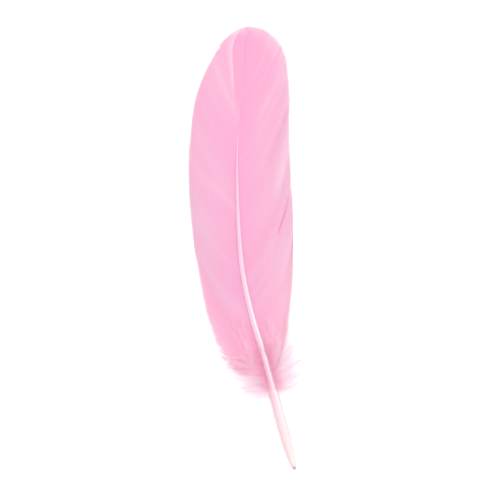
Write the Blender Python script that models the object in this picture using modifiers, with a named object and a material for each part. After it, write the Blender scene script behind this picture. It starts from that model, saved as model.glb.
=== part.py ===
"""A dyed goose feather that lies on a surface with its upper side up.

The shaft, the two vanes and the tufts of down are one piece, as they grew.
+Y runs from the quill's end to the vane's tip, +X to the right seen from above, +Z up.
Lengths are in millimetres here, and make_object turns them into metres.
"""

import math
import random

import bmesh
import bpy
import numpy as np

MM = 0.001

# Driving dimensions
RACHIS_END = 172.5
VANE_BASE = 39.0
VANE_THICKNESS = 0.45
VANE_ROOT_HEIGHT = 0.72
BARB_GROUPS = 25
BARB_RIDGE = 0.16
TOOTH_DEPTH = 0.022
DOWN_BASE = 32.5
DOWN_TOP = 49.0

# The middle of the feather's base rectangle, from the quill's end
MIDDLE = (-8.7, 90.0)

# The shaft along Y: how far across, how high its underside is, its width and its depth
SHAFT_ACROSS = ((0, 0), (25, -4.2), (45, -7.3), (65, -11.0), (86, -12.7), (110, -11.6),
                (133, -9.2), (155, -4.8), (172.5, -1.7))
SHAFT_UNDERSIDE = ((0, 0.5), (9, 0.0), (30, 0.0), (45, 0.6), (65, 2.2), (86, 3.7), (110, 4.2),
                   (133, 3.4), (155, 1.6), (172.5, 0.1))
SHAFT_WIDTH = ((0, 1.8), (5, 2.9), (10, 3.8), (18, 4.0), (29, 3.8), (48, 2.9), (74, 2.2),
               (98, 1.75), (118, 1.4), (134, 1.15), (155, 0.8), (172.5, 0.5))
SHAFT_DEPTH = ((0, 1.8), (5, 2.9), (10, 3.7), (18, 3.9), (29, 3.7), (48, 3.0), (74, 2.5),
               (98, 2.1), (118, 1.8), (134, 1.5), (155, 1.1), (172.5, 0.8))
SHAFT_SIDES = 12
SHAFT_RING_STEP = 4.0
SHAFT_TAPER = 2.0
GROOVE_START = 40.0
GROOVE_DEPTH = 0.14
PIT_RADIUS = 0.45
PIT_DEPTH = 1.6

# The edge of each vane, from the tip of its lowest barb to the feather's tip
LEFT_EDGE = ((-22.0, 42), (-26.2, 51), (-28.4, 64), (-30.0, 80), (-31.2, 98), (-30.6, 118),
             (-28.0, 138), (-23.2, 156), (-16.2, 168.4), (-10.6, 175.6), (-6.6, 178.3), (-3.3, 179.6),
             (0, 180))
RIGHT_EDGE = ((1.8, 50), (4.4, 60), (6.8, 74), (8.8, 90), (10.4, 106), (11.3, 124), (12.4, 138),
              (14.0, 152), (14.2, 163), (11.8, 172.6), (7.2, 177.6), (3.6, 179.3), (0, 180))

# How a barb leaves the shaft and how it ends, in degrees from the shaft's direction
ROOT_LEAN = ((0, 82), (0.06, 68), (0.12, 60), (0.3, 52), (0.5, 46), (0.75, 38), (0.92, 26), (1, 0))
TIP_LEAN = ((0, 55), (0.06, 32), (0.12, 20), (0.3, 18), (0.5, 20), (0.75, 19), (0.92, 12), (1, 0))

# The share of the edge that a barb reaches, by its root's share of the rachis
LEFT_REACH = ((0, 0), (0.06, 0.14), (0.12, 0.25), (0.3, 0.43), (0.5, 0.61), (0.7, 0.80),
              (0.82, 0.905), (1, 1))
RIGHT_REACH = ((0, 0), (0.06, 0.16), (0.12, 0.28), (0.27, 0.49), (0.5, 0.70), (0.764, 0.876), (1, 1))


# Places where barbs part: the side, the barb's root, how far out it starts, how wide it opens
# as a share of the edge, and how much shorter the barbs below it are
SPLITS = ((1, 0.27, 0.58, 0.009, 0.035), (-1, 0.82, 0.80, 0.005, 0.015))
SPLIT_REACH = 0.05

# The edges touch the ground along most of their length and lift a little in between
EDGE_LIFT = 0.9
EDGE_WAVES = {-1: (2.3, 0.15), 1: (1.9, 0.45)}

# Stations along a barb, and how fast it bends down to the ground
ALONG_BARB = (0, 0.12, 0.3, 0.5, 0.7, 0.87, 1)
BARB_BEND = 1.8
SPLIT_GAP = 0.002

# Locks of down: the lowest and the topmost one's length and lean from the shaft's direction
DOWN_LOCKS_A_SIDE = 22
DOWN_SEED = 12
LOCK_LENGTH = (13.5, 18.5)
LOCK_LEAN = (104, 68)
LOCK_STEPS = 6
LOCK_WIDTH = 2.6
LOCK_WIDE = ((0, 0.5), (0.35, 1.0), (0.6, 0.85), (1, 0.1))
LOCK_DEPTH = ((0, 0.8), (0.35, 0.75), (1, 0.3))

# Its three tiers: the length's factor, extra lean, curl, hump and the tip's height
LOCK_TIERS = ((1.0, 0, 34, 0.2, 0.5), (0.8, -16, 56, 2.8, 4.6), (1.15, 6, 24, 1.4, 1.4))

PINK = (0.95, 0.50, 0.70, 1)


def smooth(knots, at):
    """The value at one place on the smooth curve through (place, value) knots."""
    place, value = np.array(knots, float).T
    steps = np.diff(value)
    slope = np.gradient(value, place)
    slope[1:-1][steps[:-1] * steps[1:] <= 0] = 0
    at = min(max(at, place[0]), place[-1])
    i = min(max(int(np.searchsorted(place, at)) - 1, 0), len(place) - 2)
    span = place[i + 1] - place[i]
    t = (at - place[i]) / span
    rise = (1 + 2 * t) * (1 - t) ** 2 * value[i] + t * t * (3 - 2 * t) * value[i + 1]
    return float(rise + t * (1 - t) * span * ((1 - t) * slope[i] - t * slope[i + 1]))


def edge_point(side, share):
    """A point on a vane's edge, by its share of the edge's length."""
    points = np.array(LEFT_EDGE if side < 0 else RIGHT_EDGE, float)
    steps = np.linalg.norm(np.diff(points, axis=0), axis=1)
    shares = np.concatenate(([0], np.cumsum(steps))) / steps.sum()
    return np.array([smooth(list(zip(shares, points[:, k])), share) for k in (0, 1)])


def shaft_direction(y):
    """The shaft's direction seen from above."""
    step = 0.5
    run = np.array([smooth(SHAFT_ACROSS, y + step) - smooth(SHAFT_ACROSS, y - step), 2 * step])
    return run / np.linalg.norm(run)


def turned(direction, degrees):
    """A flat direction turned clockwise, towards +X."""
    a = math.radians(degrees)
    x, y = direction
    return np.array([x * math.cos(a) + y * math.sin(a), y * math.cos(a) - x * math.sin(a)])


def vane_height(y):
    """How high the vanes join the shaft: most of the way up its sides."""
    join = smooth(SHAFT_UNDERSIDE, y) + VANE_ROOT_HEIGHT * smooth(SHAFT_DEPTH, y)
    return join - VANE_THICKNESS / 2


def barb_tip(side, root):
    """Where on the edge a barb ends, and how much of its length it has."""
    share = smooth(LEFT_REACH if side < 0 else RIGHT_REACH, root)
    length = 1.0
    for split_side, place, _, opening, shorter in SPLITS:
        if side == split_side:
            away = root - place
            fade = math.exp(-abs(away) / SPLIT_REACH)
            share += math.copysign(opening * fade / 2, away)
            length -= shorter * fade if away < 0 else 0
    return min(share, 1), length


def barb_point(side, root, along):
    """A point on a barb: its root's share of the rachis, then its share of the barb's length."""
    y = VANE_BASE + root * (RACHIS_END - VANE_BASE)
    start = np.array([smooth(SHAFT_ACROSS, y), y])
    share, length = barb_tip(side, root)
    end = edge_point(side, share)
    third = np.linalg.norm(end - start) / 3
    near = start + third * turned(shaft_direction(y), side * smooth(ROOT_LEAN, root))
    far = end - third * turned(shaft_direction(y), side * smooth(TIP_LEAN, root))
    t = along * length
    flat = ((1 - t) ** 3 * start + 3 * t * (1 - t) ** 2 * near
            + 3 * t * t * (1 - t) * far + t ** 3 * end)
    waves, phase = EDGE_WAVES[side]
    low = VANE_THICKNESS / 2
    low += EDGE_LIFT * math.sin(math.pi * (waves * share + phase)) ** 2 * (1 - root)
    high = vane_height(y)
    return np.array([*flat, low + (high - low) * (1 - min(t, 1) ** BARB_BEND)])


def barb_rows():
    """The barb rows as (root, ridge): crests and hollows in turn, and a close pair at a split."""
    rows = [(i / (2 * BARB_GROUPS), 1 if i % 2 else -1) for i in range(2 * BARB_GROUPS + 1)]
    for _, place, *_ in SPLITS:
        rows = [row for row in rows if abs(row[0] - place) > 3 * SPLIT_GAP]
        rows += [(place - SPLIT_GAP, 0), (place + SPLIT_GAP, 0)]
    return sorted(rows)


def is_split(side, below, above, along):
    """Whether a split runs between two neighbouring rows, from this far along the barb."""
    return any(side == s and below < place < above and along >= start - 0.01
               for s, place, start, _, _ in SPLITS)


def make_object(name, points, faces):
    """A mesh object from points in millimetres, set over the middle of its base."""
    mesh = bpy.data.meshes.new(name)
    moved = [((x - MIDDLE[0]) * MM, (y - MIDDLE[1]) * MM, z * MM) for x, y, z in points]
    mesh.from_pydata(moved, [], faces)
    shape = bmesh.new()
    shape.from_mesh(mesh)
    bmesh.ops.remove_doubles(shape, verts=shape.verts, dist=0.001 * MM)
    bmesh.ops.recalc_face_normals(shape, faces=shape.faces)
    shape.to_mesh(mesh)
    shape.free()
    return bpy.data.objects.new(name, mesh)


def vane_row(root, ridge):
    """One row across both vanes, from the left edge over the shaft to the right edge."""
    row = []
    for side, stations in ((-1, ALONG_BARB[:0:-1]), (1, ALONG_BARB)):
        for along in stations:
            tooth = 1 + ridge * TOOTH_DEPTH * along * (1 - root)
            point = barb_point(side, root, along * tooth)
            point[2] += ridge * BARB_RIDGE * math.sin(math.pi * along) * (1 - root ** 4)
            row.append(point)
    return row


def make_vanes():
    """Both vanes as one open sheet whose rows follow the barbs, thickened by Solidify."""
    rows = barb_rows()
    middle = len(ALONG_BARB) - 1
    across = 2 * middle + 1
    points = [point for root, ridge in rows for point in vane_row(root, ridge)]
    faces = []
    for i in range(len(rows) - 1):
        for j in range(across - 1):
            side = -1 if j < middle else 1
            inner = middle - 1 - j if side < 0 else j - middle
            if is_split(side, rows[i][0], rows[i + 1][0], ALONG_BARB[inner]):
                continue
            corner = i * across + j
            faces.append((corner, corner + 1, corner + across + 1, corner + across))
    vanes = make_object("vane_sheet", points, faces)
    thick = vanes.modifiers.new("thickness", "SOLIDIFY")
    thick.thickness = VANE_THICKNESS * MM
    thick.offset = 0
    return vanes


def shaft_ring(y, scale=1.0, depth=0.0):
    """A ring of the shaft: round at the quill, with a groove under the rachis."""
    wide = smooth(SHAFT_WIDTH, y) * scale / 2
    tall = smooth(SHAFT_DEPTH, y) * scale / 2
    middle = smooth(SHAFT_UNDERSIDE, y) + smooth(SHAFT_DEPTH, y) / 2
    flat = math.cos(math.pi / SHAFT_SIDES)
    forward = shaft_direction(y)
    right = turned(forward, 90)
    groove = GROOVE_DEPTH * min(max((y - GROOVE_START) / 20, 0), 1)
    ring = []
    for k in range(SHAFT_SIDES):
        a = 2 * math.pi * (k + 0.5) / SHAFT_SIDES - math.pi / 2
        up = math.sin(a) / flat
        if up < -0.99:
            up += 2 * groove
        x, along = (smooth(SHAFT_ACROSS, y), y) + right * wide * math.cos(a) / flat + forward * depth
        ring.append((x, along, middle + tall * up))
    return ring


def make_shaft():
    """The shaft as one loft, with a small pit in the quill's end."""
    count = round((RACHIS_END - SHAFT_TAPER) / SHAFT_RING_STEP)
    stations = [i * (RACHIS_END - SHAFT_TAPER) / count for i in range(count + 1)]
    rings = [shaft_ring(0, PIT_RADIUS * 0.7, PIT_DEPTH), shaft_ring(0, PIT_RADIUS)]
    rings += [shaft_ring(0, 0.85, -0.01), *map(shaft_ring, [0.35] + stations[1:])]
    rings.append(shaft_ring(RACHIS_END, 0.4))
    points = [point for ring in rings for point in ring]
    n = SHAFT_SIDES
    faces = [tuple(range(n)), tuple(range(len(points) - n, len(points)))]
    for i in range(len(rings) - 1):
        for k in range(n):
            a, b = i * n + k, i * n + (k + 1) % n
            faces.append((a, b, b + n, a + n))
    return make_object("feather", points, faces)


def lock_path(side, place, tier, chance):
    """A lock of down as points: out from the shaft's middle, curling towards the vane."""
    y = DOWN_BASE + place * (DOWN_TOP - DOWN_BASE)
    factor, extra_lean, curl, hump, end = LOCK_TIERS[tier]
    length = np.interp(place, (0, 1), LOCK_LENGTH) * factor * chance.uniform(0.8, 1.15)
    lean = np.interp(place, (0, 1), LOCK_LEAN) + extra_lean + chance.uniform(-8, 8)
    curl *= chance.uniform(0.7, 1.5)
    base = smooth(SHAFT_UNDERSIDE, y) + 0.5 * smooth(SHAFT_DEPTH, y)
    hump *= chance.uniform(0.6, 1.3)
    end *= chance.uniform(1, 1.3)
    spot = np.array([smooth(SHAFT_ACROSS, y), y])
    path = []
    for i in range(LOCK_STEPS + 1):
        t = i / LOCK_STEPS
        path.append(np.array([*spot, base + (end - base) * t * t + hump * math.sin(math.pi * t)]))
        heading = turned(shaft_direction(y), side * (lean - curl * t))
        spot = spot + heading * length / LOCK_STEPS
    return path


def make_lock(name, path):
    """A lock of down: a blade with a diamond section, widest a third of the way out."""
    points = []
    for i, spot in enumerate(path[:-1]):
        ahead = path[i + 1] - path[max(i - 1, 0)]
        across = np.cross(ahead, (0, 0, 1))
        across /= np.linalg.norm(across)
        up = np.cross(across, ahead)
        up /= np.linalg.norm(up)
        t = i / LOCK_STEPS
        half_wide = smooth(LOCK_WIDE, t) * LOCK_WIDTH / 2
        half_deep = smooth(LOCK_DEPTH, t) / 2
        points += [spot + across * half_wide, spot + up * half_deep,
                   spot - across * half_wide, spot - up * half_deep]
    tip = len(points)
    points.append(path[-1])
    faces = [(0, 1, 2, 3)]
    for start in range(0, tip, 4):
        for k in range(4):
            a, b = start + k, start + (k + 1) % 4
            faces.append((a, b, tip) if start + 4 == tip else (a, b, b + 4, a + 4))
    return make_object(name, points, faces)


def make_down():
    """The locks of down on both sides, in tiers."""
    chance = random.Random(DOWN_SEED)
    locks = []
    for side, word in ((-1, "left"), (1, "right")):
        for k in range(DOWN_LOCKS_A_SIDE):
            place = (k + chance.random()) / DOWN_LOCKS_A_SIDE
            path = lock_path(side, place, k % len(LOCK_TIERS), chance)
            locks.append(make_lock(f"down_{word}_{k + 1}", path))
    return locks


def feather_material():
    """Dyed feather: soft pink with a satin finish."""
    material = bpy.data.materials.new("dyed_feather")
    material.use_nodes = True
    shader = material.node_tree.nodes["Principled BSDF"]
    shader.inputs["Base Color"].default_value = PINK
    shader.inputs["Roughness"].default_value = 0.6
    shader.inputs["Metallic"].default_value = 0
    return material


def grow_together(shaft, grown_on):
    """Join all that grows on the shaft to it, as one mesh with no modifiers."""
    union = shaft.modifiers.new("grown_together", "BOOLEAN")
    union.operation = "UNION"
    union.operand_type = "COLLECTION"
    union.collection = grown_on
    union.solver = "EXACT"
    joined = shaft.evaluated_get(bpy.context.evaluated_depsgraph_get())
    mesh = bpy.data.meshes.new_from_object(joined)
    shaft.modifiers.clear()
    shaft.data = mesh
    for growth in list(grown_on.objects):
        bpy.data.objects.remove(growth)


def fill_pockets(mesh):
    """Close the sealed pockets between crossing locks: only the outermost skin stays."""
    shape = bmesh.new()
    shape.from_mesh(mesh)
    left = set(shape.verts)
    skins = []
    while left:
        skin, edge = set(), {left.pop()}
        while edge:
            skin |= edge
            edge = {e.other_vert(v) for v in edge for e in v.link_edges} - skin
        left -= skin
        skins.append(skin)
    skins.sort(key=len)
    inner = [vert for skin in skins[:-1] for vert in skin]
    bmesh.ops.delete(shape, geom=inner, context="VERTS")
    shape.to_mesh(mesh)
    shape.free()


def clear_scene():
    for thing in list(bpy.data.objects):
        bpy.data.objects.remove(thing, do_unlink=True)


def new_collection(name):
    collection = bpy.data.collections.new(name)
    bpy.context.scene.collection.children.link(collection)
    return collection


def main():
    clear_scene()
    goose_feather = new_collection("goose_feather")
    grown_on = new_collection("grown_on_the_shaft")
    for growth in [make_vanes(), *make_down()]:
        grown_on.objects.link(growth)
    feather = make_shaft()
    goose_feather.objects.link(feather)
    grow_together(feather, grown_on)
    fill_pockets(feather.data)
    feather.data.materials.clear()
    feather.data.materials.append(feather_material())
    feather.data.shade_smooth()
    feather.data.set_sharp_from_angle(angle=math.radians(40))


main()
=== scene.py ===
import math

import bpy
import numpy as np
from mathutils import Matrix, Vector


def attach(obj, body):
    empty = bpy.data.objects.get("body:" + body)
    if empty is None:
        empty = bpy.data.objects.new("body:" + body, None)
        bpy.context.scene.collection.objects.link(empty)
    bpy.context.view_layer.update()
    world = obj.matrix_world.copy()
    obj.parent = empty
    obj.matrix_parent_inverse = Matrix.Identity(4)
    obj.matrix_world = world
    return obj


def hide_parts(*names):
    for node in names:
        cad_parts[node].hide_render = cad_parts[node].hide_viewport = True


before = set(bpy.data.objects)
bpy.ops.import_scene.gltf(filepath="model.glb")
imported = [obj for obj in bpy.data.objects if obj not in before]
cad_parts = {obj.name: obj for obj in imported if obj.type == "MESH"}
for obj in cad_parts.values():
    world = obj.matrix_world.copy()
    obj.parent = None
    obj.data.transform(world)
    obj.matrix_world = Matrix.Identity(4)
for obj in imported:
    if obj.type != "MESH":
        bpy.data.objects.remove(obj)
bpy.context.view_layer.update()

# A dyed goose feather that lies on a white table, seen from straight above.
# Lengths are in millimetres: Y from the quill's end towards the tip, X to the right, Z up from the
# table. new_piece turns them into metres and moves MIDDLE to the frame's origin.
# A side is -1 for the left and 1 for the right. A root is a barb's place on the rachis and along is
# a place on a barb, both as shares of the length.
MM = 0.001
TINY = 1e-9
VANE_SEED = 20
SHAFT_SEED = 25
DOWN_SEED = 60

# The middle of the feather's base rectangle
MIDDLE = (-8.7, 90.0)

# The shaft's line and the edges of the vanes, as in the CAD part
RACHIS_END = 172.5
VANE_BASE = 39.0
VANE_THICKNESS = 0.45
VANE_ROOT_HEIGHT = 0.72
SHAFT_ACROSS = ((0, 0), (25, -4.2), (45, -7.3), (65, -11.0), (86, -12.7), (110, -11.6),
                (133, -9.2), (155, -4.8), (172.5, -1.7))
SHAFT_UNDERSIDE = ((0, 0.5), (9, 0.0), (30, 0.0), (45, 0.6), (65, 2.2), (86, 3.7), (110, 4.2),
                   (133, 3.4), (155, 1.6), (172.5, 0.1))
CAD_SHAFT_DEPTH = ((0, 1.8), (5, 2.9), (10, 3.7), (18, 3.9), (29, 3.7), (48, 3.0), (74, 2.5),
                   (98, 2.1), (118, 1.8), (134, 1.5), (155, 1.1), (172.5, 0.8))
LEFT_EDGE = ((-22.0, 42), (-26.2, 51), (-28.4, 64), (-30.0, 80), (-31.2, 98), (-30.6, 118),
             (-28.0, 138), (-23.2, 156), (-16.2, 168.4), (-10.6, 175.6), (-6.6, 178.3), (-3.3, 179.6),
             (0, 180))
RIGHT_EDGE = ((1.8, 50), (4.4, 60), (6.8, 74), (8.8, 90), (10.4, 106), (11.3, 124), (12.4, 138),
              (14.0, 152), (14.2, 163), (11.8, 172.6), (7.2, 177.6), (3.6, 179.3), (0, 180))

# How a barb leaves the shaft and how it ends, in degrees from the shaft's direction, by its root
ROOT_LEAN = ((0, 82), (0.06, 68), (0.12, 60), (0.3, 52), (0.5, 46), (0.75, 38), (0.92, 26), (1, 0))
TIP_LEAN = ((0, 55), (0.06, 32), (0.12, 20), (0.3, 18), (0.5, 20), (0.75, 19), (0.92, 12), (1, 0))

# The share of the edge that a barb reaches, by its root
LEFT_REACH = ((0, 0), (0.06, 0.14), (0.12, 0.25), (0.3, 0.43), (0.5, 0.61), (0.7, 0.80),
              (0.82, 0.905), (1, 1))
RIGHT_REACH = ((0, 0), (0.06, 0.16), (0.12, 0.28), (0.27, 0.49), (0.5, 0.70), (0.764, 0.876), (1, 1))

# Places where barbs part: the side, the barb's root, how far out the gap starts, how wide it opens
# as a share of the edge, and how much shorter the barbs below it are
PARTING_ROOT = 0.27
NOTCH_ROOT = 0.82
SPLITS = ((1, PARTING_ROOT, 0.58, 0.002, 0.03), (-1, NOTCH_ROOT, 0.86, 0.003, 0.02))
SPLIT_REACH = 0.05
SPLIT_OPENS_OVER = 0.12

# The edges touch the table along most of their length and lift a little in between: how high,
# and for each side the number of waves and where in a wave it starts
EDGE_LIFT = 0.9
EDGE_WAVES = {-1: (2.3, 0.15), 1: (1.9, 0.45)}

# The power of a barb's fall from the shaft to the table, by its root: above 1 it is slow at first
FALL_POWER = ((0, 1.6), (0.6, 1.8), (0.8, 1.25), (0.9, 0.85), (1, 0.8))

# The shaft's width and depth, which are less near the tip than those of the CAD solid
SHAFT_WIDTH = ((0, 1.7), (5, 2.9), (10, 3.8), (18, 4.0), (29, 3.8), (48, 2.9), (74, 2.2),
               (98, 1.7), (118, 1.25), (134, 0.9), (155, 0.45), (172.5, 0.2))
SHAFT_DEPTH = ((0, 1.7), (5, 2.9), (10, 3.7), (18, 3.9), (29, 3.7), (48, 3.0), (74, 2.5),
               (98, 2.0), (118, 1.55), (134, 1.05), (155, 0.6), (172.5, 0.3))
SHAFT_SIDES = 28
SHAFT_RINGS = 340
RING_POWER = 1.15
WIDTH_WAVER = 0.012
WAVER_LENGTH = 3.1

# The share of the missing depth by which the shaft's underside is raised, and where the shaft
# starts to sink, until its top is level with the vanes
RAISED = 0.6
SINKS_FROM = 125.0
SINKS_OVER = 16.0

# The quill is round. The rachis is squarer, with a groove beneath: its depth as a share of half the
# shaft's, and how far down the section its sides begin
ROUND_POWER = 2.0
SQUARENESS = 0.9
SQUARE_FROM = 34.0
SQUARE_OVER = 22.0
GROOVE_DEPTH = 0.34
GROOVE_SIDE = 0.8
GROOVE_FROM = 38.0
GROOVE_OVER = 25.0

# The quill's end is rounded and cut at a slant, with a pit of three rings from the bottom out:
# each ring's share of the end's width, and its depth
END_ROUNDING = 1.4
END_NARROWS = 0.5
END_SLANT = 0.35
END_SLANT_OVER = 4.0
PIT_RINGS = ((0.25, 2.2), (0.45, 1.3), (0.58, 0.2))

# Barbs: those thinner than FULL_WIDTH have a lower ramus, and each is a little wider than its room
BARBS_A_SIDE = 310
BARB_STATIONS = 44
STATION_POWER = 1.35
LINE_SAMPLES = 400
LINE_INSET = 0.0001
FULL_WIDTH = 0.35
RAMUS_HEIGHT = 0.07
RAMUS_DEPTH = 0.10
RAMUS_THINS = 0.6
RAMUS_LEAST = 0.1
BARB_WIDTH = 1.05
TIP_NARROWS = 0.65
TIP_FROM = 0.93
UPPER_SIDE_LIFT = 0.03
BARB_CLEARANCE = 0.03

# Uneven lengths of barbs, as shares: in waves of several barbs, and each barb's own
LENGTH_WAVES = 0.004
LENGTH_WAVE_BARBS = 9
LENGTH_SPREAD = (-0.004, 0.003)

# The lowest barbs are loose from LOOSE_FROM outwards: they narrow, sway sideways and end short
LOOSE_ROOTS = 0.13
LOOSENESS = {-1: 0.65, 1: 0.3}
LOOSE_FROM = 0.3
LOOSE_OVER = 0.5
LOOSE_SPREAD = (0.3, 1)
LOOSE_NARROWS = 0.25
LOOSE_SWAY = 0.2
FRAYED_ROOTS = 0.08
FRAYED_SHORTER = 0.45

# Small partings at the edge: how wide they open, where along the barbs they start, how many barbs
# lie from one to the next, before the first and after the last, how many open with each, and the
# lift of those below it
GAP_WIDTH = (0.03, 0.16)
GAP_START = (0.84, 0.96)
GAP_SPACING = (7, 26)
FIRST_GAP = 6
LAST_GAP = 8
GAP_REACH = 3.5
GAP_LIFT = 0.08

# The parting inside the right vane: where it starts and ends along the barbs, how wide it opens,
# how many barbs open with it, and how far its lower barbs rise and its upper ones drop
PARTING_ALONG = (0.53, 0.9)
PARTING_OPENS_OVER = 0.15
PARTING_CLOSES_POWER = 1.5
PARTING_WIDTH = 0.14
PARTING_REACH = 3
PARTING_RISE = 0.27
PARTING_DROP = 0.18

# Slight waves in the vanes: their height, how many barbs they take and how fast they grow outwards,
# each barb's own rise, and the share of the rachis below the tip where they die away
RIPPLE = 0.16
RIPPLE_BARBS = 13
RIPPLE_GROWS = 1.3
BARB_RISE = 0.03
CALM_TIP = 0.12

# The fold in the left vane near the tip: its line across by Y, its width by Y, its height,
# the width of its sharp right side, and the length over which it begins
FOLD_ACROSS = ((148, -8.5), (155, -8.2), (163, -7.8), (172, -7.0), (175.5, -5.7), (179, -3.2))
FOLD_WIDTH = ((148, 0.8), (160, 2.2), (172, 3.6), (179, 4.5))
FOLD_HEIGHT = 0.28
FOLD_DROP = 0.4
FOLD_BEGINS_OVER = 12.0

# The left vane is painted deeper pink right of the fold, as the fold's shade, and paler at the very tip
FOLD_SHADE = 0.9
DEEPER_FROM = 140.0
DEEPER_OVER = 14.0
DEEPER_BLUR = 0.5
PALE_TIP = 0.5
PALE_TIP_FROM = 176.0
PALE_TIP_ACROSS = 0.5
PALE_TIP_OVER = 2.5

# Streaks in the vanes: the side, the root of the middle barb and how far the streak reaches from
# it, where it starts and is full along the barb, and how much paler it is (below 0: deeper)
STREAKS = ((1, 0.385, 0.10, 0.45, 0.75, 0.9), (1, 0.08, 0.22, 0.15, 0.8, 0.75),
           (1, 0.768, 0.016, 0.1, 0.3, -0.8), (1, 0.70, 0.03, 0.2, 0.5, 0.35),
           # A painted shadow line along the parting in the right vane: deeper pink from 0.52 along,
           # cancelled by the paler entry from 0.78
           (1, PARTING_ROOT, 0.016, 0.52, 0.58, -1.6), (1, PARTING_ROOT, 0.016, 0.78, 0.9, 1.6),
           (-1, 0.30, 0.14, 0.3, 0.8, 0.4), (-1, 0.52, 0.04, 0.2, 0.6, -0.35),
           (-1, 0.05, 0.12, 0.0, 0.2, -0.8), (-1, 0.0, 0.12, 0.35, 0.8, 1.5),
           (1, 0.0, 0.08, 0.4, 0.9, 0.8))

# The barbs' tones: bands with their weight and the number of barbs they take, and each barb's own
TONE_BANDS = ((0.55, 17), (0.3, 5))
OWN_TONE = 0.15

# Plumes of down, from the lowest to the topmost: their length and their lean from the shaft
DOWN_BASE = 32.5
DOWN_TOP = 49.0
PLUMES_A_SIDE = 68
PLUME_STATIONS = 20
PLUME_RADIUS = 0.045
PLUME_TAPER = 0.75
PLUME_LENGTH = (15, 20)
PLUME_LEAN = (104, 68)
PLUME_LOWEST = 0.25
DOWN_CLEARANCE = 0.02

# Their three tiers: the length's factor, extra lean, curl, the root's height as a share of the
# shaft's depth, the hump on the way and the tip's height
PLUME_TIERS = ((1.0, 0, 34, 0.5, 0.2, 0.6), (0.8, -16, 56, 0.72, 2.8, 4.4), (1.2, 6, 24, 0.55, 1.4, 1.6))

# How plumes of one tier differ: factors of the length, curl, hump and tip, and degrees of lean,
# and how far and how often a plume waves
LENGTH_FACTOR = (0.7, 1.15)
CURL_FACTOR = (0.5, 1.6)
HUMP_FACTOR = (0.5, 1.3)
TIP_FACTOR = (0.8, 1.2)
LEAN_SPREAD = (-10, 10)
WAVE_DEGREES = (6, 16)
WAVES = (1.2, 2.4)

# Barbules on the plumes, and fluff on the vane's lowest barbs, from a share along them outwards
BARBULES_A_PLUME = 180
BARBULE_LENGTH = 2.1
BARBULE_RADIUS = 0.014
BARBULE_TAPER = 0.7
BARBULES_FROM = 0.05
FLUFF_STRANDS = 76
FLUFF_BARBULES = 60
FLUFF_LENGTH = 1.3
FLUFF_ALONG = (0.4, 1.04)
FLUFF_STATIONS = 12
FIRST_FLUFF = 0.004

# A barbule's length factor at the plume's root and how much less it is at its tip, its spread,
# its slant and bend along the plume, and its random rise and wobble
BARBULE_FULL = 1.15
BARBULE_SHORTER = 0.75
BARBULE_SPREAD = (0.6, 1.25)
BARBULE_SLANT = (0.35, 1.0)
BARBULE_BEND = 0.8
BARBULE_RISE = 0.45
BARBULE_WOBBLE = 0.25

# Tones of the down: its plumes, and its barbules from root to tip
PLUME_TONE = 0.35
BARBULE_TONE = (0.4, 1)

# The down is a deeper pink beside the shaft: how far out it starts to pale, over what width, and
# from where along the shaft
INNER_FULL = 1.5
INNER_OVER = 5.0
INNER_FROM = 31.0
INNER_BEGINS_OVER = 4.0

# The bake map has the barbs' tops in its left half and their undersides in its right half
MAP_HALF = 0.49
MAP_MARGIN = 0.01

# Edges with a greater angle, in degrees, are shaded sharp
SHARP_ANGLE = 50

# The world's strength, and the key light's place and width in metres and its power
WORLD_LIGHT = 1.26
KEY_PLACE = (0.6, 0.7, 2.0)
KEY_WIDTH = 1.0
KEY_WATTS = 13.0

# How many times brighter than its own colour a surface looks in this light
LIT = 1.36

# A faint glow painted on the down, in place of the light that real down scatters on past the renderer's
# last bounce
PAINTED_GLOW = 0.1

# The table in metres, a little below the feather so that the two never coincide
TABLE_SIZE = 6
TABLE_HEIGHT = -0.0002


def smooth(knots, at):
    """The values at these places on the smooth curve through (place, value) knots."""
    place, value = np.array(knots, float).T
    steps = np.diff(value)
    slope = np.gradient(value, place)
    slope[1:-1][steps[:-1] * steps[1:] <= 0] = 0
    at = np.clip(at, place[0], place[-1])
    i = np.clip(np.searchsorted(place, at) - 1, 0, len(place) - 2)
    span = place[i + 1] - place[i]
    t = (at - place[i]) / span
    rise = (1 + 2 * t) * (1 - t) ** 2 * value[i] + t * t * (3 - 2 * t) * value[i + 1]
    return rise + t * (1 - t) * span * ((1 - t) * slope[i] - t * slope[i + 1])


def ease(t):
    """0 below 0, 1 above 1 and smooth between."""
    t = np.clip(t, 0, 1)
    return t * t * (3 - 2 * t)


def between(pair, share):
    """From the pair's first value at 0 to its second at 1."""
    return pair[0] + (pair[1] - pair[0]) * share


def unit(v):
    """Vectors of length 1 in the same directions."""
    return v / np.linalg.norm(v, axis=-1, keepdims=True)


def drift(rng, at, cell):
    """Smooth noise from -1 to 1 along one axis, with a new value every cell."""
    at = np.asarray(at, float) / cell
    values = rng.uniform(-1, 1, int(at.max()) + 3)
    i = at.astype(int)
    return values[i] + (values[i + 1] - values[i]) * ease(at - i)


def edge_point(side, share):
    """Points on a vane's edge, by their share of the edge's length."""
    points = np.array(LEFT_EDGE if side < 0 else RIGHT_EDGE, float)
    steps = np.linalg.norm(np.diff(points, axis=0), axis=1)
    shares = np.concatenate(([0], np.cumsum(steps))) / steps.sum()
    return np.stack([smooth(np.stack([shares, points[:, k]], 1), share) for k in (0, 1)], -1)


def shaft_direction(y):
    """The shaft's direction seen from above."""
    step = 0.5
    run = smooth(SHAFT_ACROSS, y + step) - smooth(SHAFT_ACROSS, y - step)
    return unit(np.stack([run, np.full_like(run, 2 * step)], -1))


def turned(direction, degrees):
    """Flat directions turned clockwise, towards +X."""
    a = np.radians(degrees)
    x, y = direction[..., 0], direction[..., 1]
    return np.stack([x * np.cos(a) + y * np.sin(a), y * np.cos(a) - x * np.sin(a)], -1)


def vane_height(y):
    """How high the vanes join the shaft."""
    return smooth(SHAFT_UNDERSIDE, y) + VANE_ROOT_HEIGHT * smooth(CAD_SHAFT_DEPTH, y) - VANE_THICKNESS / 2


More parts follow.
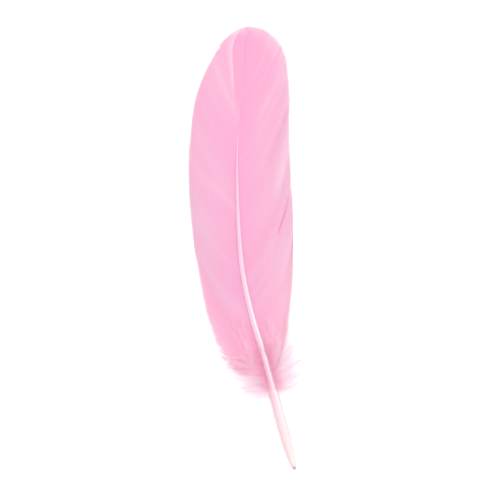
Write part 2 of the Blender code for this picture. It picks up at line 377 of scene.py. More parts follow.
def barb_tip(side, root):
    """Where on the edge a barb ends, and how much of its length it has."""
    share = smooth(LEFT_REACH if side < 0 else RIGHT_REACH, root)
    length = np.ones_like(root)
    for split_side, place, _, opening, shorter in SPLITS:
        if side == split_side:
            away = root - place
            fade = np.exp(-abs(away) / SPLIT_REACH)
            share = share + np.copysign(opening * fade / 2, away)
            length = length - np.where(away < 0, shorter * fade, 0)
    return np.minimum(share, 1), length


def barb_points(side, root, along):
    """Points on barbs: each row is a barb, a curve from its root on the shaft to its tip."""
    y = VANE_BASE + root * (RACHIS_END - VANE_BASE)
    start = np.stack([smooth(SHAFT_ACROSS, y), y], -1)
    share, length = barb_tip(side, root)
    end = edge_point(side, share)
    third = np.linalg.norm(end - start, axis=-1, keepdims=True) / 3
    near = start + third * turned(shaft_direction(y), side * smooth(ROOT_LEAN, root))
    far = end - third * turned(shaft_direction(y), side * smooth(TIP_LEAN, root))
    t = (along * length[:, None])[..., None]
    start, near, far, end = (p[:, None] for p in (start, near, far, end))
    flat = ((1 - t) ** 3 * start + 3 * t * (1 - t) ** 2 * near
            + 3 * t * t * (1 - t) * far + t ** 3 * end)
    waves, phase = EDGE_WAVES[side]
    low = VANE_THICKNESS / 2
    low = low + EDGE_LIFT * np.sin(math.pi * (waves * share + phase)) ** 2 * (1 - root)
    low, high = low[:, None], vane_height(y)[:, None]
    power = smooth(FALL_POWER, root)[:, None]
    height = low + (high - low) * (1 - np.minimum(t[..., 0], 1) ** power)
    return np.concatenate([flat, height[..., None]], -1)


def new_piece(name, points, faces, corner_uv=None, values=None):
    """A shown piece from points in millimetres, with its bake map and its vertex values."""
    mesh = bpy.data.meshes.new(name)
    points = np.asarray(points, float).reshape(-1, 3)
    points = (points - [*MIDDLE, 0]) * MM
    mesh.from_pydata(points.tolist(), [], faces)
    if corner_uv is not None:
        layer = mesh.uv_layers.new(name="OFBake")
        layer.data.foreach_set("uv", np.asarray(corner_uv, np.float32).ravel())
    for key, value in (values or {}).items():
        layer = mesh.attributes.new(key, "FLOAT", "POINT")
        layer.data.foreach_set("value", np.asarray(value, np.float32).ravel())
    mesh.update()
    mesh.shade_smooth()
    piece = bpy.data.objects.new(name, mesh)
    bpy.context.scene.collection.objects.link(piece)
    return piece


def finish_piece(piece, material):
    """Give a piece its material, and its place in the frame and the record."""
    piece.data.materials.append(material)
    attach(piece, "root")
    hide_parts("feather")


# Vanes

def barb_lines(side):
    """The roots of the lines between barbs: evenly spread between the rachis and the edge."""
    root = np.linspace(0, 1, LINE_SAMPLES)
    reach = smooth(LEFT_REACH if side < 0 else RIGHT_REACH, root)
    lines = np.interp(np.linspace(0, 1, BARBS_A_SIDE + 1), (root + reach) / 2, root)
    for split_side, place, *_ in SPLITS:
        if side == split_side:
            lines[abs(lines - place).argmin()] = place
    return lines


def barb_lengths(rng, roots):
    """The barbs' lengths as shares of the full one: slightly uneven, and frayed at the base."""
    n = len(roots)
    waves = LENGTH_WAVES * drift(rng, np.arange(n), LENGTH_WAVE_BARBS)
    length = 1 + waves + rng.uniform(*LENGTH_SPREAD, n)
    return length - rng.uniform(0, FRAYED_SHORTER, n) * ease(1 - roots / FRAYED_ROOTS)


def small_partings(rng, along):
    """Small partings near the edge: how far barbs move sideways and up."""
    shift = np.zeros((BARBS_A_SIDE, len(along)))
    lift = np.zeros_like(shift)
    index = np.arange(BARBS_A_SIDE)
    place = FIRST_GAP
    while place < BARBS_A_SIDE - LAST_GAP:
        wide = rng.uniform(*GAP_WIDTH)
        start = rng.uniform(*GAP_START)
        opens = ease((along - start) / (1 - start))[None]
        away = (index - place + 0.5)[:, None]
        fade = np.exp(-abs(away) / GAP_REACH)
        shift += np.sign(away) * wide * fade * opens
        lift += np.where(away < 0, GAP_LIFT, 0) * fade * opens
        place += int(rng.integers(*GAP_SPACING))
    return shift, lift


def inner_parting(lines, along):
    """The parting inside the right vane: how far its barbs move sideways and up."""
    start, end = PARTING_ALONG
    t = np.clip((along - start) / (end - start), 0, 1)
    opening = (ease(t / PARTING_OPENS_OVER) * (1 - t) ** PARTING_CLOSES_POWER)[None]
    away = (np.arange(BARBS_A_SIDE) - abs(lines - PARTING_ROOT).argmin() + 0.5)[:, None]
    opening = opening * np.exp(-abs(away) / PARTING_REACH)
    lift = np.where(away < 0, PARTING_RISE, -PARTING_DROP) * opening
    return np.sign(away) * PARTING_WIDTH * opening, lift


def ripple(rng, roots, along):
    """How far the barbs rise in slight waves, and each by itself."""
    n = len(roots)
    rise = RIPPLE * drift(rng, np.arange(n), RIPPLE_BARBS)[:, None] * ease(along * RIPPLE_GROWS)[None]
    rise = rise + BARB_RISE * rng.uniform(-1, 1, n)[:, None] * along[None]
    return rise * ease((1 - roots) / CALM_TIP)[:, None]


def join_at_splits(side, lines, along, below, above):
    """Close the gap that a split would leave between two barbs on its way to the rachis."""
    for split_side, place, start, *_ in SPLITS:
        if side == split_side:
            k = int(abs(lines - place).argmin())
            join = 1 - ease((along - start) / SPLIT_OPENS_OVER)[:, None]
            middle = (above[k - 1] + below[k]) / 2
            above[k - 1] += (middle - above[k - 1]) * join
            below[k] += (middle - below[k]) * join


def fold(points):
    """The fold near the tip, from 0 to 1: it rises slowly from the left and drops at its right."""
    x, y = points[..., 0], points[..., 1]
    inward = smooth(FOLD_ACROSS, y) - x
    rise = 1 - ease(inward / smooth(FOLD_WIDTH, y))
    begins = ease((y - FOLD_ACROSS[0][0]) / FOLD_BEGINS_OVER)
    return rise * ease(inward / FOLD_DROP + 0.5) * begins


def fold_highlight_and_shade(points):
    """How much paler the left vane is at the fold, a painted highlight, and at the very tip, and deeper
    right of the fold, a painted shade.
    """
    x, y = points[..., 0], points[..., 1]
    shade_beyond = ease((x - smooth(FOLD_ACROSS, y)) / DEEPER_BLUR + 0.5)
    shade_beyond = shade_beyond * ease((y - DEEPER_FROM) / DEEPER_OVER)
    tip = ease((y - PALE_TIP_FROM) / PALE_TIP_OVER) * ease((PALE_TIP_ACROSS - x) / PALE_TIP_OVER)
    return fold(points) - (1 - tip) * FOLD_SHADE * shade_beyond + PALE_TIP * tip


def streak_values(side, roots, along):
    """How much paler (or deeper, below 0) each barb is along its length."""
    total = np.zeros((len(roots), len(along)))
    for streak_side, place, reach, start, full, amount in STREAKS:
        if side == streak_side:
            across = 1 - ease(abs(roots - place) / reach)
            total += amount * across[:, None] * ease((along - start) / (full - start))[None]
    return total


def barb_tones(rng):
    """How light each barb is, from 0 to 1, in bands of neighbouring barbs."""
    index = np.arange(BARBS_A_SIDE)
    tone = sum(weight * drift(rng, index, barbs) for weight, barbs in TONE_BANDS)
    return 0.5 + 0.5 * (tone + OWN_TONE * rng.uniform(-1, 1, BARBS_A_SIDE))


def barb_sides(rng, side, lines, along):
    """Each barb's lower and upper side, and the direction from the one to the other."""
    roots = lines[:-1]
    stretched = along[None] * barb_lengths(rng, roots)[:, None]
    below = barb_points(side, roots + LINE_INSET, stretched)
    above = barb_points(side, lines[1:] - LINE_INSET, stretched)
    join_at_splits(side, lines, along, below, above)
    across = unit(above - below + [0, TINY, 0])
    shift, lift = small_partings(rng, along)
    if side > 0:
        parting_shift, parting_lift = inner_parting(lines, along)
        shift, lift = shift + parting_shift, lift + parting_lift
    offset = across * shift[..., None]
    offset[..., 2] += lift + ripple(rng, roots, along)
    below, above = below + offset, above + offset
    if side < 0:
        below[..., 2] += FOLD_HEIGHT * fold(below)
        above[..., 2] += FOLD_HEIGHT * fold(above)
    return below, above, across


def shape_barbs(rng, side, roots, along, below, above, across):
    """Point the barbs' tips, and let the lowest barbs narrow and sway."""
    n = len(roots)
    loose = ease(1 - roots / LOOSE_ROOTS)[:, None] * ease((along - LOOSE_FROM) / LOOSE_OVER)[None]
    loose = loose * rng.uniform(*LOOSE_SPREAD, n)[:, None] * LOOSENESS[side]
    width = BARB_WIDTH - TIP_NARROWS * ease((along - TIP_FROM) / (1 - TIP_FROM))[None]
    width = width - LOOSE_NARROWS * loose
    sway = rng.normal(0, LOOSE_SWAY, n)[:, None] * loose
    middle = (below + above) / 2 + across * sway[..., None]
    half = (above - below) / 2 * width[..., None]
    below, above = middle - half, middle + half
    above[..., 2] += UPPER_SIDE_LIFT
    return below, middle, above


def ramus(below, middle, above, along):
    """The ridge on top of each barb and the keel beneath it."""
    ahead = unit(np.gradient(middle, axis=1))
    clear = np.linalg.norm(np.cross(above - below, ahead), axis=-1)
    slim = (1 - RAMUS_THINS * along ** 2)[None] * np.clip(clear / FULL_WIDTH, RAMUS_LEAST, 1)
    slim = slim[..., None] * [0, 0, 1]
    return middle + RAMUS_HEIGHT * slim, middle - RAMUS_DEPTH * slim


def make_barbs(side, name):
    """One vane as closed ribbons, a barb each, that meet edge to edge with a raised ramus."""
    rng = np.random.default_rng(VANE_SEED + side)
    along = 1 - (1 - np.linspace(0, 1, BARB_STATIONS)) ** STATION_POWER
    lines = barb_lines(side)
    roots = lines[:-1]
    below, above, across = barb_sides(rng, side, lines, along)
    below, middle, above = shape_barbs(rng, side, roots, along, below, above, across)
    crest, keel = ramus(below, middle, above, along)
    pale = streak_values(side, roots, along)
    # Painted highlight on the fold and painted shade to its right
    if side < 0:
        pale = pale + fold_highlight_and_shade(middle)
    values = {
        "tone": np.repeat(barb_tones(rng), len(along)),
        "along": np.tile(along, len(roots)),
        "barb": np.repeat(roots, len(along)),
        "pale": pale.ravel(),
    }
    return make_ribbons(name, (below, crest, above, keel), along, values, side)


def make_ribbons(name, rails, along, values, side):
    """Closed four-sided ribbons between rails, with tops and undersides apart on the bake map."""
    points = np.stack(rails, 2)
    points[..., 2] = np.maximum(points[..., 2], BARB_CLEARANCE)
    n, m = points.shape[:2]
    corner = np.arange(n * m * 4).reshape(n, m, 4)
    column = MAP_HALF * (np.arange(n)[:, None] + np.array([0, 0.5, 1])[None]) / n
    height = MAP_MARGIN + (1 - 2 * MAP_MARGIN) * along[None]
    faces, uv = [], []
    for k, (left, right, half) in enumerate(((0, 1, 0), (1, 2, 0), (2, 1, 0.5), (1, 0, 0.5))):
        faces.append(strip(corner[:, :, k], corner[:, :, (k + 1) % 4]).reshape(-1, 4))
        sides = [np.stack(np.broadcast_arrays(half + column[:, [j]], height), -1) for j in (left, right)]
        uv.append(strip(*sides).reshape(-1, 4, 2))
    for end, order, level in ((0, (3, 2, 1, 0), MAP_MARGIN / 2), (-1, (0, 1, 2, 3), 1 - MAP_MARGIN / 2)):
        faces.append(corner[:, end][:, order])
        spot = np.stack([column[:, 1], np.full(n, level)], -1)
        uv.append(np.repeat(spot[:, None], 4, 1))
    faces, uv = np.concatenate(faces), np.concatenate(uv)
    if side < 0:
        faces, uv = faces[:, ::-1], uv[:, ::-1]
    values = {key: np.repeat(value, 4) for key, value in values.items()}
    piece = new_piece(name, points, faces.tolist(), uv, values)
    piece.data.set_sharp_from_angle(angle=math.radians(SHARP_ANGLE))
    return piece


def strip(a, b):
    """The four corners of each face between two rows of stations."""
    return np.stack([a[:, :-1], b[:, :-1], b[:, 1:], a[:, 1:]], 2)


# Shaft

def shaft_center(y):
    """The middle of the shaft's section, seen from the side."""
    depth = smooth(SHAFT_DEPTH, y)
    missing = smooth(CAD_SHAFT_DEPTH, y) - depth
    sunk = vane_height(y) - depth / 2
    hidden = ease((y - SINKS_FROM) / SINKS_OVER)
    return (smooth(SHAFT_UNDERSIDE, y) + RAISED * missing + depth / 2) * (1 - hidden) + sunk * hidden


def shaft_section(y, angle):
    """The section's outline, from -1 to 1: round at the quill, squarer and grooved along the rachis."""
    cos, sin = np.cos(angle)[None], np.sin(angle)[None]
    power = ROUND_POWER + SQUARENESS * ease((y - SQUARE_FROM) / SQUARE_OVER)[:, None]
    x = np.sign(cos) * abs(cos) ** (2 / power)
    z = np.sign(sin) * abs(sin) ** (2 / power)
    groove = GROOVE_DEPTH * ease((y - GROOVE_FROM) / GROOVE_OVER)[:, None]
    return x, z + groove * ease((-sin - GROOVE_SIDE) / (1 - GROOVE_SIDE))


def shaft_rings(y, angle):
    """Rings of points along the shaft, after the rings of the pit in the quill's end."""
    rng = np.random.default_rng(SHAFT_SEED)
    x, z = shaft_section(y, angle)
    waver = 1 + WIDTH_WAVER * drift(rng, y, WAVER_LENGTH)
    blunt = np.sqrt(1 - (1 - np.clip(y / END_ROUNDING, 0, 1)) ** 2 * END_NARROWS)
    wide = smooth(SHAFT_WIDTH, y) / 2 * waver * blunt
    tall = smooth(SHAFT_DEPTH, y) / 2 * blunt
    right = turned(shaft_direction(y), np.full_like(y, 90.0))
    middle = np.stack([smooth(SHAFT_ACROSS, y), y, shaft_center(y)], -1)
    points = np.repeat(middle[:, None], len(angle), 1)
    points[..., :2] += right[:, None] * (x * wide[:, None])[..., None]
    points[..., 2] += z * tall[:, None]
    points[..., 1] += END_SLANT * (1 + z) * (1 - ease(y / END_SLANT_OVER))[:, None]
    pit = [middle[0] + (points[0] - middle[0]) * share + [0, depth, 0] for share, depth in PIT_RINGS]
    points = np.concatenate([np.array(pit), points])
    points[..., 2] = np.maximum(points[..., 2], 0.0)
    return points


def make_shaft():
    """The shaft: a round quill that turns into a squarer rachis with a groove beneath."""
    y = RACHIS_END * (np.arange(SHAFT_RINGS) / (SHAFT_RINGS - 1)) ** RING_POWER
    angle = 2 * math.pi * (np.arange(SHAFT_SIDES) + 0.5) / SHAFT_SIDES - math.pi / 2
    points = shaft_rings(y, angle)
    rings, n = points.shape[:2]
    grid = np.arange(rings * n).reshape(rings, n)
    after = np.roll(grid, -1, 1)
    quads = np.stack([grid[:-1], after[:-1], after[1:], grid[1:]], -1).reshape(-1, 4).tolist()
    faces = quads + [tuple(grid[0][::-1].tolist()), tuple(grid[-1].tolist())]
    u = np.arange(n + 1) / n
    v = np.linspace(MAP_MARGIN, 1 - MAP_MARGIN, rings)
    uv = [[(u[j], v[i]), (u[j + 1], v[i]), (u[j + 1], v[i + 1]), (u[j], v[i + 1])]
          for i in range(rings - 1) for j in range(n)]
    ends = [np.full((n, 2), level) for level in (MAP_MARGIN / 2, 1 - MAP_MARGIN / 2)]
    uv = np.concatenate([np.array(uv).reshape(-1, 2), *ends])
    length = np.concatenate([np.full(len(PIT_RINGS), -1.0), y / RACHIS_END])
    values = {
        "around": np.tile(np.sin(angle), rings),
        "length": np.repeat(length, n),
        "side": np.tile(0.5 + 0.5 * np.cos(angle), rings),
    }
    return new_piece("quill_and_rachis", points, faces, uv, values)


# Down

def plume_paths(rng, side):
    """Plumes that leave the shaft sideways and curl towards the vane, in three tiers."""
    count = PLUMES_A_SIDE
    place = (np.arange(count) + rng.random(count)) / count
    factor, extra_lean, curl, root, hump, tip = np.array(PLUME_TIERS)[np.arange(count) % 3].T
    y = between((DOWN_BASE, DOWN_TOP), place)
    length = between(PLUME_LENGTH, place) * factor * rng.uniform(*LENGTH_FACTOR, count)
    lean = between(PLUME_LEAN, place) + extra_lean + rng.uniform(*LEAN_SPREAD, count)
    curl = curl * rng.uniform(*CURL_FACTOR, count)
    base = smooth(SHAFT_UNDERSIDE, y) + root * smooth(SHAFT_DEPTH, y)
    hump = hump * rng.uniform(*HUMP_FACTOR, count)
    tip = tip * rng.uniform(*TIP_FACTOR, count)
    t = np.linspace(0, 1, PLUME_STATIONS)
    wave = rng.uniform(*WAVE_DEGREES, count)[:, None] * np.sin(
        2 * math.pi * (rng.uniform(*WAVES, count)[:, None] * t + rng.random(count)[:, None]))
    turn = lean[:, None] - curl[:, None] * t + wave
    heading = turned(np.repeat(shaft_direction(y)[:, None], PLUME_STATIONS, 1), side * turn)
    step = (length / (PLUME_STATIONS - 1))[:, None, None]
    start = np.stack([smooth(SHAFT_ACROSS, y), y], -1)[:, None]
    flat = start + np.cumsum(heading * step, 1) - heading * step
    height = base[:, None] + (tip - base)[:, None] * t ** 2 + hump[:, None] * np.sin(math.pi * t)
    return np.concatenate([flat, np.maximum(height, PLUME_LOWEST)[..., None]], -1)


def tubes(paths, radius):
    """Points and faces of three-sided tubes along paths, closed to a point at the far end."""
    n, m = paths.shape[:2]
    sides = 3
    ahead = unit(np.gradient(paths, axis=1) + [0, 0, TINY])
    nearly_up = [0.02, 0.01, 1.0]
    across = unit(np.cross(ahead, nearly_up))
    up = np.cross(across, ahead)
    angle = 2 * math.pi * np.arange(sides) / sides
    ring = across[:, :-1, None] * np.cos(angle)[:, None] + up[:, :-1, None] * np.sin(angle)[:, None]
    body = paths[:, :-1, None] + ring * radius[..., None, None]
    points = np.concatenate([body.reshape(n, -1, 3), paths[:, -1:]], 1)
    each = (m - 1) * sides + 1
    faces = [(0, 2, 1)]
    for i in range(m - 2):
        for k in range(sides):
            a, b = i * sides + k, i * sides + (k + 1) % sides
            faces += [(a, b, b + sides), (a, b + sides, a + sides)]
    last = (m - 2) * sides
    faces += [(last + k, last + (k + 1) % sides, each - 1) for k in range(sides)]
    faces = np.array(faces)[None] + (np.arange(n) * each)[:, None, None]
    return points.reshape(-1, 3), faces.reshape(-1, 3)


def barbules(rng, paths, count, length, first):
    """Short curved hairs along both sides of paths, from a share along them, shorter further out."""
    n, m = paths.shape[:2]
    t = (np.arange(count) + rng.random((n, count))) / count * (1 - first) + first
    place = t * (m - 1)
    i = np.clip(place.astype(int), 0, m - 2)
    rows = np.arange(n)[:, None]
    part = (place - i)[..., None]
    root = paths[rows, i] * (1 - part) + paths[rows, i + 1] * part
    ahead = unit(paths[rows, i + 1] - paths[rows, i])
    side = np.where(np.arange(count) % 2, 1.0, -1.0)[None, :, None]
    across = unit(np.cross(ahead, [0, 0, 1.0])) * side
    up = rng.normal(0, BARBULE_RISE, (n, count, 1)) * [0, 0, 1]
    slant = rng.uniform(*BARBULE_SLANT, (n, count, 1))
    out = unit(across + ahead * slant + up)
    size = length * (BARBULE_FULL - BARBULE_SHORTER * t) * rng.uniform(*BARBULE_SPREAD, (n, count))
    half = size[..., None] * 0.5
    bend = unit(out + ahead * BARBULE_BEND + rng.normal(0, BARBULE_WOBBLE, (n, count, 3)))
    spots = np.stack([root, root + out * half, root + out * half + bend * half], 2)
    return spots.reshape(-1, 3, 3)


def make_down(side, name):
    """The down on one side: plumes with their barbules, and fluff on the vane's lowest barbs."""
    rng = np.random.default_rng(DOWN_SEED + side)
    plumes = plume_paths(rng, side)
    taper = PLUME_RADIUS * (1 - PLUME_TAPER * np.linspace(0, 1, PLUME_STATIONS - 1))
    plume_points, plume_faces = tubes(plumes, np.repeat(taper[None], len(plumes), 0))
    hairs = barbules(rng, plumes, BARBULES_A_PLUME, BARBULE_LENGTH, BARBULES_FROM)
    roots = np.linspace(FIRST_FLUFF, LOOSE_ROOTS, FLUFF_STRANDS)
    along = np.repeat(np.linspace(*FLUFF_ALONG, FLUFF_STATIONS)[None], FLUFF_STRANDS, 0)
    fluff = barbules(rng, barb_points(side, roots, along), FLUFF_BARBULES, FLUFF_LENGTH, 0.0)
    hairs = np.concatenate([hairs, fluff])
    hair_radius = np.repeat([[BARBULE_RADIUS, BARBULE_RADIUS * BARBULE_TAPER]], len(hairs), 0)
    hair_points, hair_faces = tubes(hairs, hair_radius)
    hair_tone = np.linspace(*BARBULE_TONE, len(hair_points) // len(hairs))
    tone = np.concatenate([np.full(len(plume_points), PLUME_TONE), np.tile(hair_tone, len(hairs))])
    points = np.concatenate([plume_points, hair_points])
    points[:, 2] = np.maximum(points[:, 2], DOWN_CLEARANCE)
    faces = np.concatenate([plume_faces, hair_faces + len(plume_points)])
    x, y = points[:, 0], points[:, 1]
    inner = 1 - ease((abs(x - smooth(SHAFT_ACROSS, y)) - INNER_FULL) / INNER_OVER)
    inner = inner * ease((y - INNER_FROM) / INNER_BEGINS_OVER)
    return new_piece(name, points, faces.tolist(), None, {"tone": tone, "inner": inner})


# Materials

class Nodes:
    """A Principled material and short calls for the nodes that feed it."""

    def __init__(self, name):
        self.material = bpy.data.materials.new(name)
        self.material.use_nodes = True
        self.tree = self.material.node_tree
        self.shader = self.tree.nodes["Principled BSDF"]

    def new(self, kind, **settings):
        node = self.tree.nodes.new(kind)
        for key, value in settings.items():
            setattr(node, key, value)
        return node

    def link(self, source, target):
        self.tree.links.new(source, target)

    def value(self, name):
        """A value that the mesh carries at its points."""
        return self.new("ShaderNodeAttribute", attribute_name=name).outputs["Fac"]

    def math(self, operation, a, b):
        node = self.new("ShaderNodeMath", operation=operation)
        for socket, given in zip(node.inputs, (a, b)):
            if isinstance(given, float):
                socket.default_value = given
            else:
                self.link(given, socket)
        return node.outputs[0]

    def times(self, a, b):
        return self.math("MULTIPLY", a, b)

    def plus(self, a, b):
        return self.math("ADD", a, b)

    def flat(self, x, y):
        """A vector with these two parts."""
        joined = self.new("ShaderNodeCombineXYZ")
        self.link(x, joined.inputs[0])
        self.link(y, joined.inputs[1])
        return joined.outputs[0]

    def noise(self, vector, scale, detail):
        node = self.new("ShaderNodeTexNoise")
        node.inputs["Scale"].default_value = scale
        node.inputs["Detail"].default_value = detail
        node.inputs["Roughness"].default_value = 0.55
        self.link(vector, node.inputs["Vector"])
        return node.outputs["Fac"]

    def ramp(self, factor, *stops):
        """A colour that changes between (place, colour) stops."""
        node = self.new("ShaderNodeValToRGB")
        while len(node.color_ramp.elements) < len(stops):
            node.color_ramp.elements.new(0.5)
        for element, (place, colour) in zip(node.color_ramp.elements, stops):
            element.position = place
            element.color = (*colour, 1)
        self.link(factor, node.inputs["Fac"])
        return node.outputs["Color"]

    def fade(self, factor, *stops):
        """A share that changes between (place, share) stops."""
        return self.ramp(factor, *((place, (share, share, share)) for place, share in stops))

    def mix(self, factor, a, b):
        """The colour a where the factor is 0, and b where it is 1."""
        node = self.new("ShaderNodeMix", data_type="RGBA")
        factor_socket, a_socket, b_socket = (node.inputs[k] for k in (0, 6, 7))
        self.link(factor, factor_socket)
        for socket, given in ((a_socket, a), (b_socket, b)):
            if isinstance(given, tuple):
                socket.default_value = (*given, 1)
            else:
                self.link(given, socket)
        return node.outputs[2]

    def bump(self, height, strength, distance):
        node = self.new("ShaderNodeBump")
        node.inputs["Strength"].default_value = strength
        node.inputs["Distance"].default_value = distance
        self.link(height, node.inputs["Height"])
        self.link(node.outputs["Normal"], self.shader.inputs["Normal"])

    def colour(self, colour):
        self.link(colour, self.shader.inputs["Base Color"])

    def set(self, **sockets):
        """Constant values on the shader's own sockets."""
        for key, value in sockets.items():
            self.shader.inputs[key.replace("_", " ")].default_value = value


def rgb(red, green, blue):
    """The linear colour of a surface that looks like these sRGB values, out of 255, in this light.

    A value above 255 is for a place that lies in shade.
    """
    return tuple((c / 12.92 if c <= 0.04045 else ((c + 0.055) / 1.055) ** 2.4) / LIT
                 for c in (red / 255, green / 255, blue / 255))


def vane_material(name, near, middle, outer, edge, upper, lower, pale):
    """Satin barbs: deeper pink beside the rachis, with faint streaks and paler patches; some streaks and
    patches are painted shade and painted highlight, and the lowest barbs are painted brighter to offset
    their shade.
    """
    nodes = Nodes(name)
    along, barb, patch = nodes.value("along"), nodes.value("barb"), nodes.value("pale")
    stretched = nodes.flat(nodes.times(barb, 90.0), nodes.times(along, 3.0))
    fine = nodes.noise(stretched, 3.0, 3.0)
    broad = nodes.noise(stretched, 0.35, 2.0)
    colour = nodes.ramp(along, (0.0, near), (0.3, middle), (0.75, outer), (1.0, edge))
    high = nodes.fade(barb, (0.55, 0.0), (0.85, 0.7))
    inside = nodes.fade(along, (0.7, 1.0), (0.93, 0.2))
    colour = nodes.mix(nodes.times(high, inside), colour, upper)
    shade = nodes.plus(nodes.times(nodes.value("tone"), 0.45), nodes.times(fine, 0.25))
    shade = nodes.plus(shade, nodes.times(broad, 0.3))
    colour = nodes.mix(nodes.fade(shade, (0.2, 0.55), (0.5, 0.0)), colour, near)
    colour = nodes.mix(nodes.fade(shade, (0.5, 0.0), (0.8, 0.5)), colour, pale)
    colour = nodes.mix(nodes.times(patch, -0.9), colour, near)
    colour = nodes.mix(nodes.times(patch, 0.9), colour, pale)
    # Painted light: the lowest barbs, shaded by the down, get a red brighter than white light could give
    # them
    colour = nodes.mix(nodes.fade(barb, (0.02, 0.7), (0.2, 0.0)), colour, lower)
    nodes.colour(colour)
    nodes.bump(fine, 0.25, 0.00008)
    nodes.set(Roughness=0.5, Sheen_Weight=0.3, Sheen_Roughness=0.4, Specular_IOR_Level=0.35)
    nodes.set(Sheen_Tint=(1.0, 0.86, 0.93, 1), Subsurface_Weight=0.1, Subsurface_Scale=0.0012)
    nodes.set(Subsurface_Radius=(1.0, 0.6, 0.75))
    return nodes.material


def shaft_material():
    """Keratin: ivory with pink flanks at the quill, partly the dye and partly painted shade, a painted
    white highlight along the shaft's top right, and the vane's pink above.
    """
    nodes = Nodes("quill_keratin")
    length, side = nodes.value("length"), nodes.value("side")
    grain = nodes.noise(nodes.flat(nodes.times(side, 6.0), nodes.times(length, 12.0)), 2.2, 3.0)
    # Partly the quill's dark inside and partly painted shade: the quill's very end and the pit in it are
    # grey-mauve
    body = nodes.ramp(
        length, (0.0, rgb(170, 138, 146)), (0.009, rgb(249, 236, 234)), (0.13, rgb(249, 226, 227)),
        (0.2, rgb(249, 206, 221)), (0.32, rgb(249, 202, 221)), (0.45, rgb(251, 203, 223)),
        (0.62, rgb(252, 197, 221)), (0.78, rgb(253, 180, 213)))
    # Partly the dye and partly painted shade: the shaft's flanks are deeper, greyer pink, most on the
    # left, away from the light
    flank_shade = nodes.fade(side, (0.0, 0.85), (0.12, 0.6), (0.42, 0.0), (0.9, 0.0), (1.0, 0.7))
    edge = nodes.ramp(
        length, (0.0, rgb(238, 192, 200)), (0.15, rgb(248, 192, 206)), (0.25, rgb(250, 172, 205)),
        (0.42, rgb(250, 190, 216)), (0.8, rgb(252, 176, 211)))
    colour = nodes.mix(flank_shade, body, edge)
    # Painted highlight: a white band on the top right of the shaft, where the key light from the right
    # would glint
    painted_highlight = nodes.fade(side, (0.5, 0.0), (0.64, 1.0), (0.82, 1.0), (0.95, 0.0))
    highlight_along = nodes.fade(length, (0.08, 0.2), (0.2, 1.0), (0.36, 1.0), (0.5, 0.35), (0.76, 0.0))
    top = nodes.fade(nodes.value("around"), (0.1, 0.0), (0.4, 1.0))
    colour = nodes.mix(nodes.times(nodes.times(painted_highlight, highlight_along), top), colour, rgb(255, 246, 250))
    colour = nodes.mix(nodes.times(grain, 0.2), colour, rgb(251, 218, 228))
    nodes.colour(colour)
    nodes.bump(grain, 0.15, 0.0001)
    nodes.set(Roughness=0.35, Specular_IOR_Level=0.4, IOR=1.54)
    nodes.set(Subsurface_Weight=0.3, Subsurface_Scale=0.0015, Subsurface_Radius=(1.0, 0.6, 0.65))
    return nodes.material


def down_material():
    """Soft fluff, deeper pink beside the shaft and almost white at the tips of the barbules, with a faint
    painted glow.
    """
    nodes = Nodes("down_fluff")
    patch = nodes.noise(nodes.new("ShaderNodeTexCoord").outputs["Object"], 220.0, 2.0)
    shade = nodes.plus(nodes.times(nodes.value("tone"), 0.6), nodes.times(patch, 0.5))
    colour = nodes.ramp(
        shade, (0.2, (0.97, 0.56, 0.71)), (0.6, (0.98, 0.69, 0.81)), (1.0, (0.99, 0.84, 0.90)))
    colour = nodes.mix(nodes.times(nodes.value("inner"), 0.85), colour, (0.97, 0.42, 0.62))
    nodes.colour(colour)
    nodes.set(Roughness=0.8, Sheen_Weight=0.3, Specular_IOR_Level=0.2)
    nodes.set(Sheen_Tint=(1.0, 0.9, 0.95, 1))
    # Painted glow: the down emits a little pink light of its own
    nodes.set(Emission_Color=(1.0, 0.62, 0.78, 1), Emission_Strength=PAINTED_GLOW)
    return nodes.material


def floor_material():
    """A white table top with the faintest clouds."""
    nodes = Nodes("white_table")
    cloud = nodes.noise(nodes.new("ShaderNodeTexCoord").outputs["Object"], 3.0, 1.0)
    nodes.colour(nodes.fade(cloud, (0.0, 0.95), (1.0, 0.97)))
    nodes.set(Roughness=0.9, Specular_IOR_Level=0.1)
    return nodes.material


# Table, light and camera

def add_table():
    bpy.ops.mesh.primitive_plane_add(size=TABLE_SIZE, location=(0, 0, TABLE_HEIGHT))
    table = bpy.context.object
    table.name = "table"
    table.data.materials.append(floor_material())


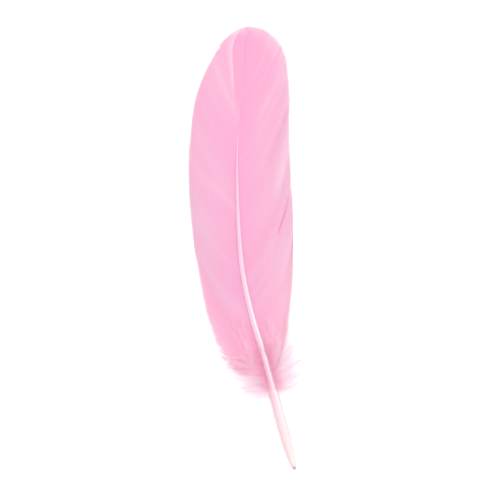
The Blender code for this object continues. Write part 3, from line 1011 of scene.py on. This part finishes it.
def add_light():
    """White light from all around, and a soft key light from the upper right."""
    lamp = bpy.data.lights.new("key", "AREA")
    lamp.shape = "DISK"
    lamp.size = KEY_WIDTH
    lamp.energy = KEY_WATTS
    light = bpy.data.objects.new("key", lamp)
    light.location = KEY_PLACE
    light.rotation_euler = (-Vector(KEY_PLACE)).to_track_quat("-Z", "Y").to_euler()
    bpy.context.scene.collection.objects.link(light)
    world = bpy.data.worlds.new("studio")
    world.use_nodes = True
    backdrop = world.node_tree.nodes["Background"]
    backdrop.inputs["Color"].default_value = (1, 1, 1, 1)
    backdrop.inputs["Strength"].default_value = WORLD_LIGHT
    bpy.context.scene.world = world
    bpy.context.scene.view_settings.view_transform = "Standard"


def add_camera():
    """Straight above the feather, turned so that it leans as in the photograph."""
    lens, sensor = 90.0, 36.0
    frame_height = 0.202
    lean = math.radians(6.0)
    camera = bpy.data.objects.new("camera", bpy.data.cameras.new("camera"))
    camera.data.lens = lens
    camera.data.sensor_width = sensor
    camera.data.sensor_fit = "HORIZONTAL"
    camera.location = (0, 0, frame_height * lens / sensor)
    camera.rotation_euler = (0, 0, -lean)
    bpy.context.scene.collection.objects.link(camera)
    bpy.context.scene.camera = camera


add_camera()
add_light()
add_table()

# Edge and lower colours above 255 are painted light, making up for the shade at the edges and among the
# lowest barbs
left_satin = vane_material(
    "left_satin", near=rgb(254, 171, 211), middle=rgb(253, 181, 216), outer=rgb(253, 187, 219),
    edge=rgb(258, 184, 217), upper=rgb(252, 181, 214), lower=rgb(276, 184, 220),
    pale=rgb(255, 209, 232))
right_satin = vane_material(
    "right_satin", near=rgb(253, 172, 211), middle=rgb(253, 181, 215), outer=rgb(252, 189, 219),
    edge=rgb(257, 204, 227), upper=rgb(253, 166, 206), lower=rgb(276, 192, 222),
    pale=rgb(255, 208, 230))
soft_down = down_material()
finish_piece(make_barbs(-1, "left_vane"), left_satin)
finish_piece(make_barbs(1, "right_vane"), right_satin)
finish_piece(make_shaft(), shaft_material())
finish_piece(make_down(-1, "left_down"), soft_down)
finish_piece(make_down(1, "right_down"), soft_down)
